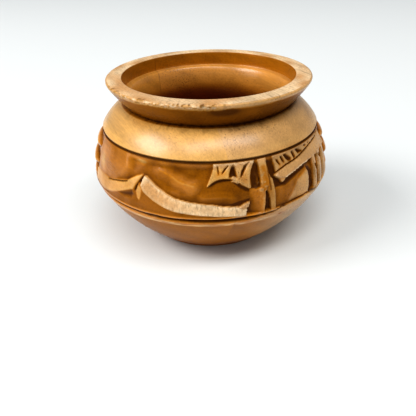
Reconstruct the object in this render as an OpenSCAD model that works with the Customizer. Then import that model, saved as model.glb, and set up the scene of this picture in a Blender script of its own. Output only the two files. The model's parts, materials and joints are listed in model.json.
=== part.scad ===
// Carved wooden bowl with a lid seat in its mouth.
// Two boards are glued edge to edge, the blank is turned, and a village scene is
// carved in low relief around the belly. Millimetres, +Z up, origin at the centre of
// the foot, front of the bowl towards -Y. Azimuths are in degrees from the front,
// growing towards +X.

/* [Turned form] */
// Overall height, foot to rim
height = 65; // [62:1:68]
// Diameter of the belly, the widest part
belly_d = 100; // [96:1:106]
// Diameter over the flared rim
rim_d = 82; // [80:1:86]
// Diameter at the bottom of the neck groove
neck_d = 68.2; // [67.6:0.2:70]
// Diameter of the flat foot
foot_d = 59; // [50:1:62]

/* [Hollow] */
// Diameter of the lid seat, a straight rebate in the mouth
lid_seat_d = 69; // [67:0.2:70]
// Depth of the lid seat
lid_seat_depth = 5.6; // [4.4:0.2:6]
// Width of the ledge that a lid rests on
ledge_w = 2.8; // [2:0.2:3.6]
// Wall thickness behind the carved background
wall = 6; // [5:0.2:8]
// Thickness of the floor at its middle
floor_t = 8; // [6:0.5:12]

/* [Carving] */
// Depth of the carved background below the turned surface
relief_depth = 1.7; // [1:0.1:2]
// Width of the V slot under the carved band
slot_w = 2.5; // [1.5:0.1:3]
// Depth of the V slot
slot_depth = 1.9; // [1:0.1:2.4]
// How many times the scene repeats around the belly
scene_count = 2; // [1:1:2]

/* [Glued blank] */
// Distance from the bowl's axis to the glue joint
joint_offset = 12; // [8:0.5:16]
// Direction that the joint's face looks in, from +X
joint_angle = 23; // [0:1:45]

/* [Hidden] */
$fn = 96;

belly_r = belly_d / 2;
rim_r = rim_d / 2;
neck_r = neck_d / 2;
foot_r = foot_d / 2;
seat_r = lid_seat_d / 2;
belly_z = 0.425 * height;
neck_z = 0.847 * height;
band_low_z = 0.42 * height;
band_top_z = 0.709 * height;
slot_z = 0.388 * height;
ledge_z = height - lid_seat_depth;

// The shoulder is a superellipse that dies into the neck groove.
dome_power = 1.9;
dome_end = 0.941;
dome_h = (neck_z - belly_z) / dome_end;
neck_step = 1.2;
dome_left = pow(1 - pow(dome_end, dome_power), 1 / dome_power);
dome_w = (belly_r - neck_r - neck_step) / (1 - dome_left);
curve_steps = 10;

// Edges and scored lines of the turned form.
score_w = 0.8;
score_depth = 0.7;
neck_flat = 0.2;
rim_edge = 1;
rim_round = 0.4;
foot_chamfer = 0.8;
base_bulge = 2.25;
base_top_step = 1.2;
band_low_step = 0.3;

// The hollow: a throat below the ledge, a wide middle and a round floor.
throat_step = 2;
throat_round = 2;
throat_steps = 6;
throat_r = seat_r - ledge_w - throat_step;
throat_z = 0.8 * height;
hollow_r = belly_r - relief_depth - wall;
hollow_z = 0.47 * height;
floor_power = 2.3;
floor_start_angle = 8;

// Room that a cutting shape needs beyond what it cuts.
clear = 1;

function dome_r(z) =
    belly_r - dome_w * (1 - pow(1 - pow((z - belly_z) / dome_h, dome_power), 1 / dome_power));

function ramp(a, b, n) = [for (i = [0 : n]) a + (b - a) * i / n];

// A quadratic curve from a to c that is pulled towards b.
function bend(a, b, c, n) =
    [for (t = ramp(0, 1, n)) pow(1 - t, 2) * a + 2 * t * (1 - t) * b + t * t * c];

foot_edge = [foot_r, foot_chamfer];
base_edge = [belly_r - base_top_step, slot_z - slot_w / 2];
base_pull = (foot_edge + base_edge) / 2 + [base_bulge, -base_bulge];

turned_profile = concat(
    [[0, 0], [foot_r - foot_chamfer, 0]],
    bend(foot_edge, base_pull, base_edge, curve_steps),
    [
        [belly_r - slot_depth, slot_z],
        [belly_r - band_low_step, slot_z + slot_w / 2],
        [belly_r, band_low_z]
    ],
    [for (z = ramp(belly_z, band_top_z, curve_steps)) [dome_r(z), z]],
    [[dome_r(band_top_z) - score_depth, band_top_z + score_w / 2]],
    [for (z = ramp(band_top_z + score_w, neck_z, curve_steps)) [dome_r(z), z]],
    [
        [neck_r, neck_z + neck_flat],
        [rim_r, height - rim_edge],
        [rim_r, height - rim_round],
        [rim_r - rim_round, height],
        [0, height]
    ]
);

// The hollow's wall widens in a soft S, from the throat at t = 0 to the middle at t = 1.
function soft_step(t) = t * t * (3 - 2 * t);

ledge_edge = [seat_r - ledge_w, ledge_z];

// From the mouth down: lid seat, ledge, throat, bellied wall, round floor.
hollow_profile = concat(
    [[0, height + clear], [seat_r, height + clear], [seat_r, ledge_z]],
    bend(ledge_edge, [throat_r, ledge_z - throat_round], [throat_r, throat_z], throat_steps),
    [
        for (t = ramp(0, 1, curve_steps))
            [throat_r + (hollow_r - throat_r) * soft_step(t), throat_z + (hollow_z - throat_z) * t]
    ],
    [
        for (a = ramp(floor_start_angle, 90, curve_steps))
            [
                hollow_r * pow(cos(a), 2 / floor_power),
                hollow_z - (hollow_z - floor_t) * pow(sin(a), 2 / floor_power)
            ]
    ]
);

// Outlines of the carved motifs: [azimuth, height] points, in degrees and
// per cent of the bowl's height.
palm_left_frond = [
    [1.2, 72], [-0.5, 64.5], [-2.1, 60], [1, 62.5], [4, 63.5], [7.5, 64], [7.8, 67], [9.2, 69.5],
    [9.5, 72]
];
palm_right_frond = [
    [9.7, 72], [10, 69.5], [11, 66], [11.4, 62], [13, 59.5], [15.8, 57], [16.2, 62], [17.2, 66],
    [18.6, 69.5], [18.8, 72]
];
palm_trunk = [
    [19.4, 72], [21, 64.5], [19, 57.5], [16.5, 55], [15.3, 48.5], [14.2, 41], [21.8, 41],
    [22.6, 48.5], [23.6, 54], [24.6, 48.5], [25.2, 41], [27.4, 41], [26.8, 53], [26, 62], [24.8, 72]
];
hut_eave = [
    [28, 60.5], [33, 63], [43, 66], [54, 68.5], [62, 69], [70, 69], [70, 61.5], [62, 61],
    [50, 60.5], [42, 59.5], [35, 58], [31, 56]
];
hut_wall = [[29, 41], [29, 54], [34, 56], [46.6, 58], [46.6, 41]];
hut_post = [[-0.9, 41], [-0.9, 61.5], [0.9, 61.5], [0.9, 41]];
hut_post_azimuths = [54, 60.5, 67];
shore = [
    [-30.8, 62], [-25, 57.5], [-18, 53], [-10, 50.5], [0, 49.5], [7, 47.5], [14, 46],
    [13.4, 42.5], [5, 43], [-5, 44], [-12, 45], [-18, 47], [-25, 50.5], [-31.8, 56]
];
hill = [
    [-66, 41], [-60, 47], [-53, 51], [-45, 54.5], [-40, 56], [-32, 62.5], [-33.5, 54], [-38, 52.5],
    [-44, 48.5], [-50, 44.5], [-56, 41]
];
small_leaf = [[0, 72], [0.5, 66], [2.6, 67], [3.8, 72]];
small_leaf_azimuths = [28, 33.5, 39, 44.5];
small_leaf_rise = 1.3;
cloud = [[-17, 0], [-12, 3], [0, 4.5], [12, 3], [17, 0], [12, -3], [0, -4.5], [-12, -3]];
cloud_azimuth = 92;
cloud_heights = [46, 54.5, 63];

// A prism that stands on the belly and has a motif's outline as seen from outside.
module motif(outline, azimuth = 0, rise = 0) {
    mid = (min([for (p = outline) p[0]]) + max([for (p = outline) p[0]])) / 2;
    rotate([0, 0, azimuth + mid])
        translate([0, -belly_r / 2, 0])
            rotate([90, 0, 0])
                linear_extrude(belly_r)
                    polygon([
                        for (p = outline) [belly_r * sin(p[0] - mid), (p[1] + rise) * height / 100]
                    ]);
}

module palm() {
    motif(palm_left_frond);
    motif(palm_right_frond);
    motif(palm_trunk);
}

module hut() {
    motif(hut_eave);
    motif(hut_wall);
    for (a = hut_post_azimuths)
        motif(hut_post, a);
    for (i = [0 : len(small_leaf_azimuths) - 1])
        motif(small_leaf, small_leaf_azimuths[i], i * small_leaf_rise);
}

module land() {
    motif(shore);
    motif(hill);
}

module clouds() {
    for (z = cloud_heights)
        motif(cloud, cloud_azimuth, z);
}

module scene() {
    palm();
    hut();
    land();
    clouds();
}

// What the carver takes away around the motifs.
module background_cut() {
    difference() {
        rotate_extrude()
            polygon(concat(
                [for (z = ramp(band_low_z, band_top_z, curve_steps))
                    [dome_r(max(z, belly_z)) - relief_depth, z]],
                [[belly_r + clear, band_top_z], [belly_r + clear, band_low_z]]
            ));
        for (i = [0 : scene_count - 1])
            rotate([0, 0, i * 360 / scene_count])
                scene();
    }
}

module carved_bowl() {
    difference() {
        rotate_extrude()
            polygon(turned_profile);
        rotate_extrude()
            polygon(hollow_profile);
        background_cut();
    }
}

// Everything on the far side of the glue joint, seen from the bowl's axis.
module beyond_joint() {
    rotate([0, 0, joint_angle])
        translate([-joint_offset - belly_d, -belly_d, -clear])
            cube([belly_d, 2 * belly_d, height + 2 * clear]);
}

// The wide board, which holds the bowl's axis.
module main_board() {
    color("peru")
        difference() {
            carved_bowl();
            beyond_joint();
        }
}

// The narrow board on the left, end grain to the wall.
module side_board() {
    color("sienna")
        intersection() {
            carved_bowl();
            beyond_joint();
        }
}

main_board();
side_board();
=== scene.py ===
"""Looks of the carved wooden bowl: two glued boards, turned and carved, on a pale floor."""

import json
import math

import bmesh
import bpy
import numpy as np
from mathutils import Matrix, Vector


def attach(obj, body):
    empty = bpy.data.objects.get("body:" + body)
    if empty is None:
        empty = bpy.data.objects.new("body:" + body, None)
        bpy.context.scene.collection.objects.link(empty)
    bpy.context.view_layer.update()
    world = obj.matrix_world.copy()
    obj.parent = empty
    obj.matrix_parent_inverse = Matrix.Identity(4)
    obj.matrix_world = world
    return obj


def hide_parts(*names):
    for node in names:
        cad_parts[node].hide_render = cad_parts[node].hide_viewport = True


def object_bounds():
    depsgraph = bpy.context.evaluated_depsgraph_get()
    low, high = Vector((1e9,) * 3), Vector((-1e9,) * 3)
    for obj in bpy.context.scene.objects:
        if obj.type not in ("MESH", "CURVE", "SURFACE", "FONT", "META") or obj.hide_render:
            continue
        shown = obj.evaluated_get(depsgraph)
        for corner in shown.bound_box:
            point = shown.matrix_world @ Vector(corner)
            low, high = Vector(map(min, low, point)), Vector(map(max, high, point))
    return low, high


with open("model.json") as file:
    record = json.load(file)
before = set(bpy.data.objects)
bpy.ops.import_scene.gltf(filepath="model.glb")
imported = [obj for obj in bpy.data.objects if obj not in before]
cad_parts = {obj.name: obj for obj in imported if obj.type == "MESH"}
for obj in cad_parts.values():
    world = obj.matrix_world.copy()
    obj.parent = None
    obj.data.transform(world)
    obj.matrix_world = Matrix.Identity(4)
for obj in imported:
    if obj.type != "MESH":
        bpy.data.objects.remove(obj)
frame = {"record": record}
CAD_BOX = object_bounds()

# ---------------------------------------------------------------- sizes, in millimetres
MM = 0.001
HEIGHT = (CAD_BOX[1].z - CAD_BOX[0].z) / MM
BELLY_R = (CAD_BOX[1].x - CAD_BOX[0].x) / MM / 2
MOUNTS = {m["name"]: m for m in frame["record"]["mounts"]}
SEAT_R = MOUNTS["lid_seat"]["dims"]["r_mm"]
LEDGE_Z = HEIGHT - MOUNTS["lid_seat"]["dims"]["length_mm"]
RIM_R = 0.82 * BELLY_R
NECK_R = 0.682 * BELLY_R
FOOT_R = 0.59 * BELLY_R
BELLY_Z = 0.425 * HEIGHT
NECK_Z = 0.847 * HEIGHT
BAND_LOW_Z = 0.42 * HEIGHT
BAND_TOP_Z = 0.709 * HEIGHT
SLOT_Z = 0.388 * HEIGHT
SLOT_W = 2.5
RELIEF_DEPTH = 1.7
LEDGE_W = 2.8
WALL = 6.0
FLOOR_T = 8.0
THROAT_R = SEAT_R - LEDGE_W - 2
THROAT_Z = 0.8 * HEIGHT
HOLLOW_R = BELLY_R - RELIEF_DEPTH - WALL
HOLLOW_Z = 0.47 * HEIGHT

# The glue joint: a vertical plane, this far from the axis, facing this way from +X.
JOINT_OFFSET = 12.0
JOINT_ANGLE = math.radians(23)
JOINT_NORMAL = Vector((math.cos(JOINT_ANGLE), math.sin(JOINT_ANGLE), 0))
# Edges that turn more than this are shown sharp.
SHARP_ANGLE = math.radians(48)

# Columns of the mesh, in degrees from the front, -Y: finer where the scene faces the viewer.
FRONT = np.linspace(-80, 80, 445)[:-1]
AZIMUTH = np.concatenate([FRONT, np.linspace(80, 280, 281)[:-1]])
COLUMNS = len(AZIMUTH)

# The band is unrolled at this radius. Gouge cuts stray this far from their cell's middle, and meet
# in a ridge at this squared distance from it, in cells.
ARC_R = 0.94 * BELLY_R
SCOOP_SHIFT = 0.35
SCOOP_RIDGE = 0.5


# ---------------------------------------------------------------- small maths
def smooth(x, low, high):
    """0 below low, 1 above high, and a soft step between."""
    t = np.clip((x - low) / (high - low), 0, 1)
    return t * t * (3 - 2 * t)


def spot(value, middle, width):
    """1 where the value is at the middle, fading softly over the width on both sides."""
    return np.exp(-((value - middle) / width) ** 2)


def noise(azimuth, z, across, up, seed):
    """Smooth noise from -1 to 1 on the unrolled bowl; across and up are its grain in mm."""
    cells = max(3, int(round(2 * math.pi * ARC_R / across)))
    rows = int(HEIGHT * 2 / up) + 4
    lattice = np.random.default_rng(seed).uniform(-1, 1, (rows, cells))
    u = (azimuth / 360 + 0.5) * cells
    v = np.clip(z / up + 1, 0, rows - 2)
    i, j = np.floor(u).astype(int), np.floor(v).astype(int)
    fu, fv = u - i, v - j
    fu, fv = fu * fu * (3 - 2 * fu), fv * fv * (3 - 2 * fv)
    a, b = lattice[j, i % cells], lattice[j, (i + 1) % cells]
    c, d = lattice[j + 1, i % cells], lattice[j + 1, (i + 1) % cells]
    return (a * (1 - fu) + b * fu) * (1 - fv) + (c * (1 - fu) + d * fu) * fv


def scoops(azimuth, z, wide, tall, seed):
    """Shallow gouge cuts side by side: 0 in the middle of each, 1 on the ridges between them."""
    cells = int(round(2 * math.pi * ARC_R / wide))
    rows = int(HEIGHT / tall) + 3
    shift = np.random.default_rng(seed).uniform(-SCOOP_SHIFT, SCOOP_SHIFT, (rows, cells, 2))
    u, v = (azimuth / 360 + 0.5) * cells, z / tall
    i, j = np.floor(u).astype(int), np.clip(np.floor(v).astype(int), 1, rows - 2)
    nearest = np.full(np.shape(u), np.inf)
    for di in (-1, 0, 1):
        for dj in (-1, 0, 1):
            s = shift[j + dj, (i + di) % cells]
            du, dv = u - (i + di + 0.5 + s[..., 0]), v - (j + dj + 0.5 + s[..., 1])
            nearest = np.minimum(nearest, du * du + dv * dv)
    return np.clip(nearest / SCOOP_RIDGE, 0, 1)


def unroll(points):
    """Outline points as mm on the unrolled band."""
    p = np.array(points, float)
    return np.radians(p[:, 0]) * ARC_R, p[:, 1] / 100 * HEIGHT


def segment_distance(x, z, ax, az, bx, bz):
    """Distance from the segment between a and b."""
    ex, ez = bx - ax, bz - az
    t = np.clip(((x - ax) * ex + (z - az) * ez) / (ex * ex + ez * ez), 0, 1)
    return np.hypot(x - ax - t * ex, z - az - t * ez)


def line_distance(polyline, azimuth, z):
    """Distance in mm from a line of [azimuth, per cent of the height] points."""
    px, pz = unroll(polyline)
    x = np.radians(azimuth) * ARC_R
    segments = zip(px[:-1], pz[:-1], px[1:], pz[1:])
    return np.min([segment_distance(x, z, *ends) for ends in segments], 0)


def outline_distance(outline, azimuth, z):
    """Distance in mm from an outline of [azimuth, per cent of the height] points, negative inside."""
    px, pz = unroll(outline)
    x = np.radians(azimuth) * ARC_R
    nearest = np.full(np.shape(x), np.inf)
    inside = np.zeros(np.shape(x), bool)
    for k in range(len(px)):
        ax, az, bx, bz = px[k - 1], pz[k - 1], px[k], pz[k]
        nearest = np.minimum(nearest, segment_distance(x, z, ax, az, bx, bz))
        if bz != az:
            inside ^= ((az > z) != (bz > z)) & (x < ax + (z - az) * (bx - ax) / (bz - az))
    return np.where(inside, -nearest, nearest)


def around(azimuth, knots):
    """A value that changes round the bowl, from given [azimuth, value] knots."""
    k = np.array(knots, float)
    return np.interp(azimuth, k[:, 0], k[:, 1], period=360)


def resample(points, step):
    """The polyline's points, respaced evenly at about step mm, with both ends kept."""
    p = np.array(points, float)
    s = np.concatenate([[0], np.cumsum(np.hypot(*np.diff(p, axis=0).T))])
    n = max(1, int(round(s[-1] / step)))
    t = np.linspace(0, s[-1], n + 1)
    return np.stack([np.interp(t, s, p[:, 0]), np.interp(t, s, p[:, 1])], 1)


def bend(a, b, c, n=24):
    """A quadratic curve from a to c, pulled towards b."""
    t = np.linspace(0, 1, n + 1)[:, None]
    return (1 - t) ** 2 * np.array(a) + 2 * t * (1 - t) * np.array(b) + t * t * np.array(c)


# ---------------------------------------------------------------- turned profile
DOME_POWER = 1.9
DOME_END = 0.941
DOME_H = (NECK_Z - BELLY_Z) / DOME_END
NECK_STEP = 1.2
DOME_W = (BELLY_R - NECK_R - NECK_STEP) / (1 - (1 - DOME_END ** DOME_POWER) ** (1 / DOME_POWER))
BASE_BULGE = 2.25
BASE_TOP = (BELLY_R - 1.2, SLOT_Z - SLOT_W / 2)
BAND_FOOT = (BELLY_R - 0.3, SLOT_Z + SLOT_W / 2)
FOOT_ROUND = 0.8
FOOT_EDGE = (FOOT_R, FOOT_ROUND)
BASE_PULL = (
    (FOOT_EDGE[0] + BASE_TOP[0]) / 2 + BASE_BULGE, (FOOT_EDGE[1] + BASE_TOP[1]) / 2 - BASE_BULGE,
)
FLARE_FOOT = (NECK_R, NECK_Z + 0.25)
FLARE_PULL = (NECK_R + 3.6, NECK_Z + 4.1)
RIM_EDGE = (RIM_R - 0.35, HEIGHT - 1.4)
RIM_PULL = (RIM_R + 0.25, HEIGHT - 0.1)
RIM_TOP = (RIM_R - 1.1, HEIGHT)
SEAT_ROUND = 0.35
LEDGE_R = SEAT_R - LEDGE_W
LEDGE_EDGE = (LEDGE_R + 0.4, LEDGE_Z)
LEDGE_LIP = (LEDGE_R - 0.5, LEDGE_Z - 0.6)
FLOOR_POWER = 2.3
# The rows lie closer together between these heights, where the carving is.
FINE_LOW_Z = 0.35 * HEIGHT
FINE_TOP_Z = 0.73 * HEIGHT


def dome_r(z):
    """Radius of the shoulder's superellipse."""
    t = np.clip((z - BELLY_Z) / DOME_H, 0, 1)
    return BELLY_R - DOME_W * (1 - (1 - t ** DOME_POWER) ** (1 / DOME_POWER))


def outer_rows():
    """Rows of the outside, from the middle of the foot up to the rim's outer edge."""
    base = bend(FOOT_EDGE, BASE_PULL, BASE_TOP, 60)
    low = base[base[:, 1] < FINE_LOW_Z]
    fine = np.concatenate([
        base[base[:, 1] >= FINE_LOW_Z],
        [BAND_FOOT, (BELLY_R, BAND_LOW_Z)],
        [(dome_r(z), z) for z in np.linspace(BELLY_Z, FINE_TOP_Z, 60)],
    ])
    shoulder = [(dome_r(z), z) for z in np.linspace(FINE_TOP_Z, NECK_Z, 80)]
    foot_side = (FOOT_R - FOOT_ROUND, 0)
    return [
        resample([(0, 0), foot_side], step=4.2),
        resample(bend(foot_side, (FOOT_R, 0), FOOT_EDGE), step=0.35)[1:],
        resample(low, step=1.05)[1:],
        resample(np.concatenate([low[-1:], fine]), step=0.33)[1:],
        resample(shoulder, step=0.62)[1:],
        resample(bend(FLARE_FOOT, FLARE_PULL, RIM_EDGE), step=0.5),
        resample(bend(RIM_EDGE, RIM_PULL, RIM_TOP, 16), step=0.3)[1:],
    ]


def hollow_wall():
    """The hollow's wall widens in a soft S below the throat."""
    t = np.linspace(0, 1, 30)
    r = THROAT_R + (HOLLOW_R - THROAT_R) * t * t * (3 - 2 * t)
    return np.stack([r, THROAT_Z + (HOLLOW_Z - THROAT_Z) * t], 1)


def hollow_floor():
    """The hollow's round floor, from its wall to the axis."""
    a = np.radians(np.linspace(0, 90, 31))[1:]
    r = HOLLOW_R * np.cos(a) ** (2 / FLOOR_POWER)
    z = HOLLOW_Z - (HOLLOW_Z - FLOOR_T) * np.sin(a) ** (2 / FLOOR_POWER)
    r[-1] = 0
    return np.concatenate([[(HOLLOW_R, HOLLOW_Z)], np.stack([r, z], 1)])


def inner_rows():
    """Rows of the rim's top, the lid seat, the ledge and the hollow, down to the floor's middle."""
    seat_edge, seat_top = (SEAT_R + SEAT_ROUND, HEIGHT), (SEAT_R, HEIGHT - SEAT_ROUND)
    lip = bend(LEDGE_EDGE, (LEDGE_R - 0.2, LEDGE_Z), LEDGE_LIP, 8)
    throat = bend(LEDGE_LIP, (THROAT_R, LEDGE_Z - 2.4), (THROAT_R, THROAT_Z))
    return [
        resample([RIM_TOP, seat_edge], step=0.9)[1:],
        resample(bend(seat_edge, (SEAT_R, HEIGHT), seat_top), step=0.2)[1:],
        resample([seat_top, (SEAT_R, LEDGE_Z + 0.15)], step=0.8)[1:],
        resample([(SEAT_R - 0.1, LEDGE_Z), LEDGE_EDGE], step=0.7),
        resample(lip, step=0.4)[1:],
        resample(throat, step=0.8)[1:],
        resample(hollow_wall(), step=1.6)[1:],
        resample(hollow_floor(), step=3.0)[1:],
    ]


OUTER = np.concatenate(outer_rows())
INNER = np.concatenate(inner_rows())
ROWS = np.concatenate([OUTER, INNER])


def row_normals(rows):
    """Unit normals of the profile, pointing out of the wood."""
    d = np.gradient(rows, axis=0)
    n = np.stack([d[:, 1], -d[:, 0]], 1)
    return n / np.maximum(np.hypot(n[:, 0], n[:, 1]), 1e-9)[:, None]


NORMALS = row_normals(ROWS)

# ---------------------------------------------------------------- the carved scene
# Outlines of [azimuth, per cent of the height] points. The scene is cut twice round the belly.
SHORE_LOW_EDGE = [
    (-31.6, 56.6), (-30, 53.6), (-25, 50), (-20, 47), (-16, 45.4), (-10, 44.6), (0, 43.5),
    (5, 42.8), (13.2, 42),
]
SHORE = SHORE_LOW_EDGE + [
    (13.9, 45.7), (11.5, 46.8), (8, 47.3), (4, 47.9), (0, 49.3), (-5, 49.9), (-10, 50.6),
    (-16, 52.2), (-20, 54.4), (-25, 57.6), (-30, 61.5), (-30.9, 61.5),
]
BELOW_SHORE = SHORE_LOW_EDGE + [
    (13.4, 39), (-70, 39), (-70, 44), (-55, 44.4), (-45, 48), (-36.5, 53), (-33, 57),
]
SHORE_LEAF = [(11, 47.1), (13, 48.8), (15.2, 49.7), (15.8, 48.4), (14.2, 46.9), (12.4, 46)]
SHORE_SHADOW = [
    (5, 48.2), (8, 49.4), (11, 50.6), (15.4, 51.4), (15.4, 50.1), (12.5, 49), (10.5, 47.4),
    (8, 47.5),
]
HILL_LOW_EDGE = [
    (-70, 43.5), (-60, 43.4), (-55, 44.1), (-50, 46), (-45, 48.6), (-40, 51.6), (-36.2, 53.4),
]
HILL = HILL_LOW_EDGE + [
    (-35.6, 54.6), (-32.3, 61.4), (-34.8, 60), (-40, 56.2), (-47, 53.8), (-52.5, 51.6), (-58, 51),
    (-70, 50),
]
HILL_SHADOW = [(-46, 47.6), (-40, 51), (-36.4, 52.9), (-34.6, 50.2), (-36.5, 47.2), (-41, 46.4)]
TENT_CUT = [
    (-31.2, 63.4), (-32.4, 60.8), (-34.9, 55), (-35, 52.6), (-34, 52.6), (-33.4, 55.6), (-31.8, 60),
]
TENT_FOLD = [(-31.5, 54.4), (-31.8, 51), (-32.4, 48.6), (-33, 49.4), (-33.6, 53), (-32.6, 55.4)]
HILL_LINE = [(-54, 51.4), (-50, 52.6), (-47, 53.7), (-43, 55), (-40, 56.2)]
GROUND_RIDGE = [(-24, 66.4), (-19, 64.7), (-15.5, 62.2), (-13, 61), (-8, 59.6)]
LOW_RIDGE = [(-4, 53.4), (1, 53.6), (5, 53.4), (8, 52.4)]

FRONDS = [
    (0.8, 71), (0.8, 68.2), (-0.6, 64), (-2.2, 59.8), (-0.6, 61.3), (1.5, 62.7), (4, 63.4),
    (8, 63.4), (10.6, 62), (12.6, 59.6), (15.6, 57.2), (16.4, 58.2), (16.8, 64), (18, 68), (19, 71),
]
FROND_SHADOWS = [
    [
        (-2.2, 59.7), (0, 61.9), (2.5, 63.2), (5, 63.7), (8.4, 63.5), (8, 62), (4.6, 61.9),
        (1.5, 61), (-0.6, 59.5),
    ],
    [(8.6, 61.4), (10.6, 61.3), (13, 58.7), (15.8, 56.8), (15.9, 54.8), (13.6, 55.6), (10.8, 58.2)],
]
FROND_CREASES = [
    [(2.2, 69.6), (3.1, 69.2), (3.3, 65.4), (2.7, 65.2), (2.4, 67)],
    [(4, 66), (5.4, 68.4), (7.3, 70), (7.5, 69.3), (6, 67.4), (4.7, 65.7)],
]
FROND_CUTS = [
    [
        (6.9, 63.6), (7.3, 66.3), (8.3, 69), (9.4, 70), (10.4, 69), (10.9, 66.2), (11.3, 62.6),
        (10, 62.7), (8.5, 63.4),
    ],
    [
        (11.9, 63.6), (12.6, 66.4), (14.2, 69.1), (16.9, 70.2), (15.6, 68.2), (14.4, 65.8),
        (13.2, 63.6), (12.3, 62.8),
    ],
]
TWIGS = [
    [(8.4, 63.9), (9.4, 64.5), (10.8, 63.2), (10.4, 62.7), (9.3, 63.4)],
    [(8.3, 61.8), (9.6, 62.6), (11.2, 61), (10.8, 60.5), (9.6, 61.5)],
]
TRUNK_ARCH = [
    (15.6, 58), (15.9, 62.6), (16.8, 66.4), (18.2, 69.1), (19.4, 70), (20.5, 69.2), (21, 66),
    (21.1, 60), (20.6, 55.8), (18.6, 54.8), (16.4, 55.6),
]
TRUNK_STRIP = [
    (20.9, 71), (21.1, 60), (20.6, 55.6), (22.2, 54.4), (24.9, 54.4), (25.4, 60), (24.7, 64),
    (24.5, 71),
]
TRUNK_CREASE = [(24.7, 69), (24.6, 64), (24.9, 58), (25.2, 54)]
LEFT_LEG_EDGE = [(20.9, 56), (21.9, 48), (21.6, 40.6)]
LEFT_LEG = [
    (15.6, 57), (18.6, 56), (20.6, 56.6), (22.2, 54.6), (22.1, 48), (21.7, 40.6), (13.8, 40.6),
    (14.2, 44), (15.4, 49.4),
]
RIGHT_LEG_EDGE = [(26.2, 58), (26.8, 50), (27.2, 40.6)]
RIGHT_LEG = [
    (23.2, 55.4), (24.9, 57), (25.4, 61), (26.2, 60), (26.8, 54), (27.2, 47), (27.4, 40.6),
    (25.2, 40.6), (25, 48),
]
TRUNK_CUT = [
    (21.7, 40.8), (22, 46), (22.5, 50.8), (23.3, 54.6), (24.2, 52), (25, 47.6), (25.3, 43.6),
    (25.3, 40.8),
]
TRUNK_SIDE_CUT = [
    (24.9, 64), (24.8, 68), (25.6, 69.9), (27.1, 68.6), (28.4, 65.6), (28.8, 63.4), (27.6, 61.4),
    (28.4, 59.6), (30.6, 57.4), (31, 56), (29.5, 54.8), (27, 54.2), (26.6, 57), (25.9, 61.6),
]
LEAVES = [
    (28.2, 71), (28.7, 66), (28.9, 62.6), (32, 63.4), (37, 64.8), (42, 65.8), (47, 67), (52, 68.2),
    (58, 69.2), (64, 69.6), (64, 71),
]
LEAF_CUTS = [
    [(28.9, 69.2), (30.5, 68.6), (32, 65.5), (31.2, 64.7), (29.7, 67)],
    [(31.7, 69.7), (33.4, 69.5), (34.6, 66.4), (34, 65), (32.6, 66.8)],
    [(33.8, 70), (36, 70), (39, 67), (38.6, 65.3), (36.4, 65.6), (35, 67.4)],
    [(38.8, 70), (40.7, 69.9), (41.8, 66.9), (41.4, 65.8), (40, 66)],
    [(41.9, 70), (44, 70), (47.4, 67.9), (46.6, 67.3), (43.5, 67.3)],
    [(48.5, 69.9), (50.4, 70), (52, 69), (50.4, 68.5)],
    [(52.2, 70), (53.7, 70), (55, 69.4), (53.2, 68.9)],
]
EAVE_LOW_EDGE = [
    (31, 57.4), (35, 58.8), (40, 60.1), (45, 61.2), (50, 61.6), (56, 61.8), (62, 62), (71, 62),
]
EAVE = EAVE_LOW_EDGE + [
    (71, 69.4), (64, 69), (55, 68.1), (50, 67.3), (45, 66.1), (40, 65), (35, 64), (30, 62.4),
    (27.6, 60.7), (30.2, 58.6),
]
EAVE_END = [(30.2, 58.9), (30.8, 56.6), (31.6, 56.2), (33, 57.4), (32.6, 58.3), (31, 58.6)]
EAVE_LINE = [
    (26.6, 61.2), (30, 62.8), (35, 64.4), (40, 65.3), (45, 66.4), (50, 67.6), (55, 68.5),
    (64, 69.3),
]
EAVE_SHADOW = [
    (26.6, 54.4), (27.2, 55.6), (31, 56), (36, 57.4), (42, 58.9), (47, 59.9), (47, 58.4), (42, 57),
    (33, 53.6),
]
WALL_FACE = [
    (27.2, 41.4), (27, 53.6), (31, 54.2), (36, 55.6), (42, 57.2), (47.2, 58.4), (47.6, 50),
    (46.6, 42.6),
]
WALL_WEDGE = [(35.8, 43.4), (38.6, 47.4), (41.4, 52.9), (46.8, 55.4), (47.6, 49), (46.6, 43.2)]
DOOR_CUT = [
    (47.8, 43.4), (47.4, 48), (47.6, 54), (48, 58.6), (50.4, 57.8), (52.3, 54.4), (53, 51.4),
    (52.7, 48.4), (53.6, 46), (54, 44), (51, 42.7),
]
POST_MIDDLES = [(54.4, 0.8), (60.4, 1.2), (67, 1.1)]
POST_CUTS = [
    [(53.9, 57.6), (55.4, 56.6), (58, 52.6), (55.6, 52.8), (54.6, 54.6)],
    [(54.8, 51.2), (56.6, 50.8), (56.4, 50.2), (55, 50.4)],
    [(55.6, 48.6), (57, 47.4), (59, 44), (58.4, 42.8), (56.4, 43)],
    [(59.2, 60.6), (61, 60.6), (62.6, 57.6), (60.8, 57.8)],
    [(61.8, 54), (64.6, 53), (65.8, 49), (63, 48.6), (62, 50)],
    [(61.6, 47.4), (64, 46.4), (66, 44.2), (62, 43.6)],
    [(68.4, 59.6), (71.2, 58), (72.4, 47), (70, 43.4), (68.2, 44.6)],
]
PANEL = [(-66, 51), (-67.5, 60), (-66, 71), (-43, 71), (-42, 64), (-46, 58), (-50, 54.2), (-54, 52)]
SIDE_CUTS = [
    [(-77, 64.6), (-76.5, 69), (-72.5, 70.4), (-69.6, 68.6), (-70.5, 65)],
    [(-74.5, 52.6), (-73, 60), (-70, 63.6), (-67.4, 62), (-67, 56), (-69, 52.6)],
]
CLOUD = [
    (-17, 0), (-12, 3), (-4, 4.2), (4, 4.2), (12, 3), (17, 0), (12, -3), (4, -4.2), (-4, -4.2),
    (-12, -3),
]
CLOUD_AZIMUTH = 92
CLOUD_STACK = [(43.6, 0.85), (52.8, 1.1), (63.6, 0.9)]
CLOUDS = [[(CLOUD_AZIMUTH + a, z + k * p) for a, p in CLOUD] for z, k in CLOUD_STACK]
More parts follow.
